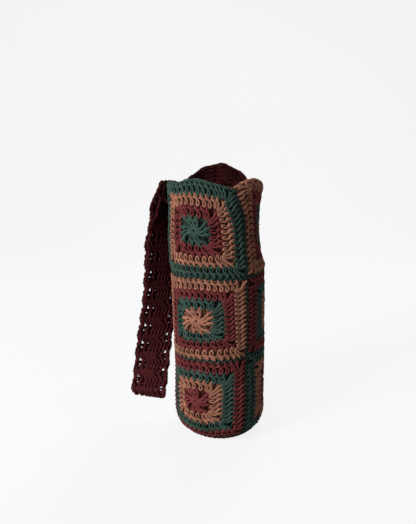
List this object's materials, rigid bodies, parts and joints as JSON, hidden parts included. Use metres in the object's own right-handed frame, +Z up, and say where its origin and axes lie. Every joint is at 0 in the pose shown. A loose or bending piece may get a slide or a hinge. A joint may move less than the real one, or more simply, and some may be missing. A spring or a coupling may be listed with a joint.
{
  "type": "bottle carrier",
  "caption": "Crocheted round bag for one wine bottle, made of solid granny squares in three yarns, with a long strap folded over its rim.",
  "frame": {"origin": "middle of the base, on the surface that the bag stands on", "axes": "+Z up along the bag's axis, -Y towards the side with the front squares, +X to the right seen from there"},
  "size_m": [0.1267, 0.0861, 0.2427],
  "materials": {
    "green_yarn": "matt spun yarn",
    "light_brown_yarn": "matt spun yarn",
    "maroon_yarn": "matt spun yarn",
    "dark_maroon_yarn": "matt spun yarn"
  },
  "bodies": {
    "bag": {"front_top_centre": "green_yarn", "front_top_round_2": "maroon_yarn", "front_top_round_3": "light_brown_yarn", "front_top_round_4": "green_yarn", "front_middle_centre": "light_brown_yarn", "front_middle_round_2": "green_yarn", "front_middle_round_3": "maroon_yarn", "front_middle_round_4": "light_brown_yarn", "front_bottom_centre": "maroon_yarn", "front_bottom_round_2": "light_brown_yarn", "front_bottom_round_3": "green_yarn", "front_bottom_round_4": "maroon_yarn", "right_top_centre": "light_brown_yarn", "right_top_round_2": "green_yarn", "right_top_round_3": "maroon_yarn", "right_top_round_4": "light_brown_yarn", "right_middle_centre": "maroon_yarn", "right_middle_round_2": "light_brown_yarn", "right_middle_round_3": "green_yarn", "right_middle_round_4": "maroon_yarn", "right_bottom_centre": "green_yarn", "right_bottom_round_2": "maroon_yarn", "right_bottom_round_3": "light_brown_yarn", "right_bottom_round_4": "green_yarn", "back_top_centre": "maroon_yarn", "back_top_round_2": "light_brown_yarn", "back_top_round_3": "green_yarn", "back_top_round_4": "maroon_yarn", "back_middle_centre": "green_yarn", "back_middle_round_2": "maroon_yarn", "back_middle_round_3": "light_brown_yarn", "back_middle_round_4": "green_yarn", "back_bottom_centre": "light_brown_yarn", "back_bottom_round_2": "green_yarn", "back_bottom_round_3": "maroon_yarn", "back_bottom_round_4": "light_brown_yarn", "seam_front_right": "green_yarn", "seam_right_back": "green_yarn", "seam_back_front": "green_yarn", "seam_upper": "green_yarn", "seam_lower": "green_yarn", "seam_base": "green_yarn", "base_centre": "dark_maroon_yarn", "base_round_2": "dark_maroon_yarn", "base_round_3": "dark_maroon_yarn", "base_round_4": "dark_maroon_yarn", "strap_crossing": "dark_maroon_yarn", "strap_left_end": "dark_maroon_yarn", "strap_left_stitches": "dark_maroon_yarn", "strap_right_stitches": "dark_maroon_yarn"},
    "strap_loop": {"strap_rim_fold": "dark_maroon_yarn", "strap_front_leg": "dark_maroon_yarn", "strap_rear_leg": "dark_maroon_yarn", "strap_lower_fold": "dark_maroon_yarn"}
  },
  "joints": [
    {"name": "strap_lift", "type": "hinge", "parent": "bag", "child": "strap_loop", "pos_m": [-0.03994, 0.01646, 0.22078], "axis": [0.3811, 0.9245, 0], "range_deg": [0, 165]}
  ]
}
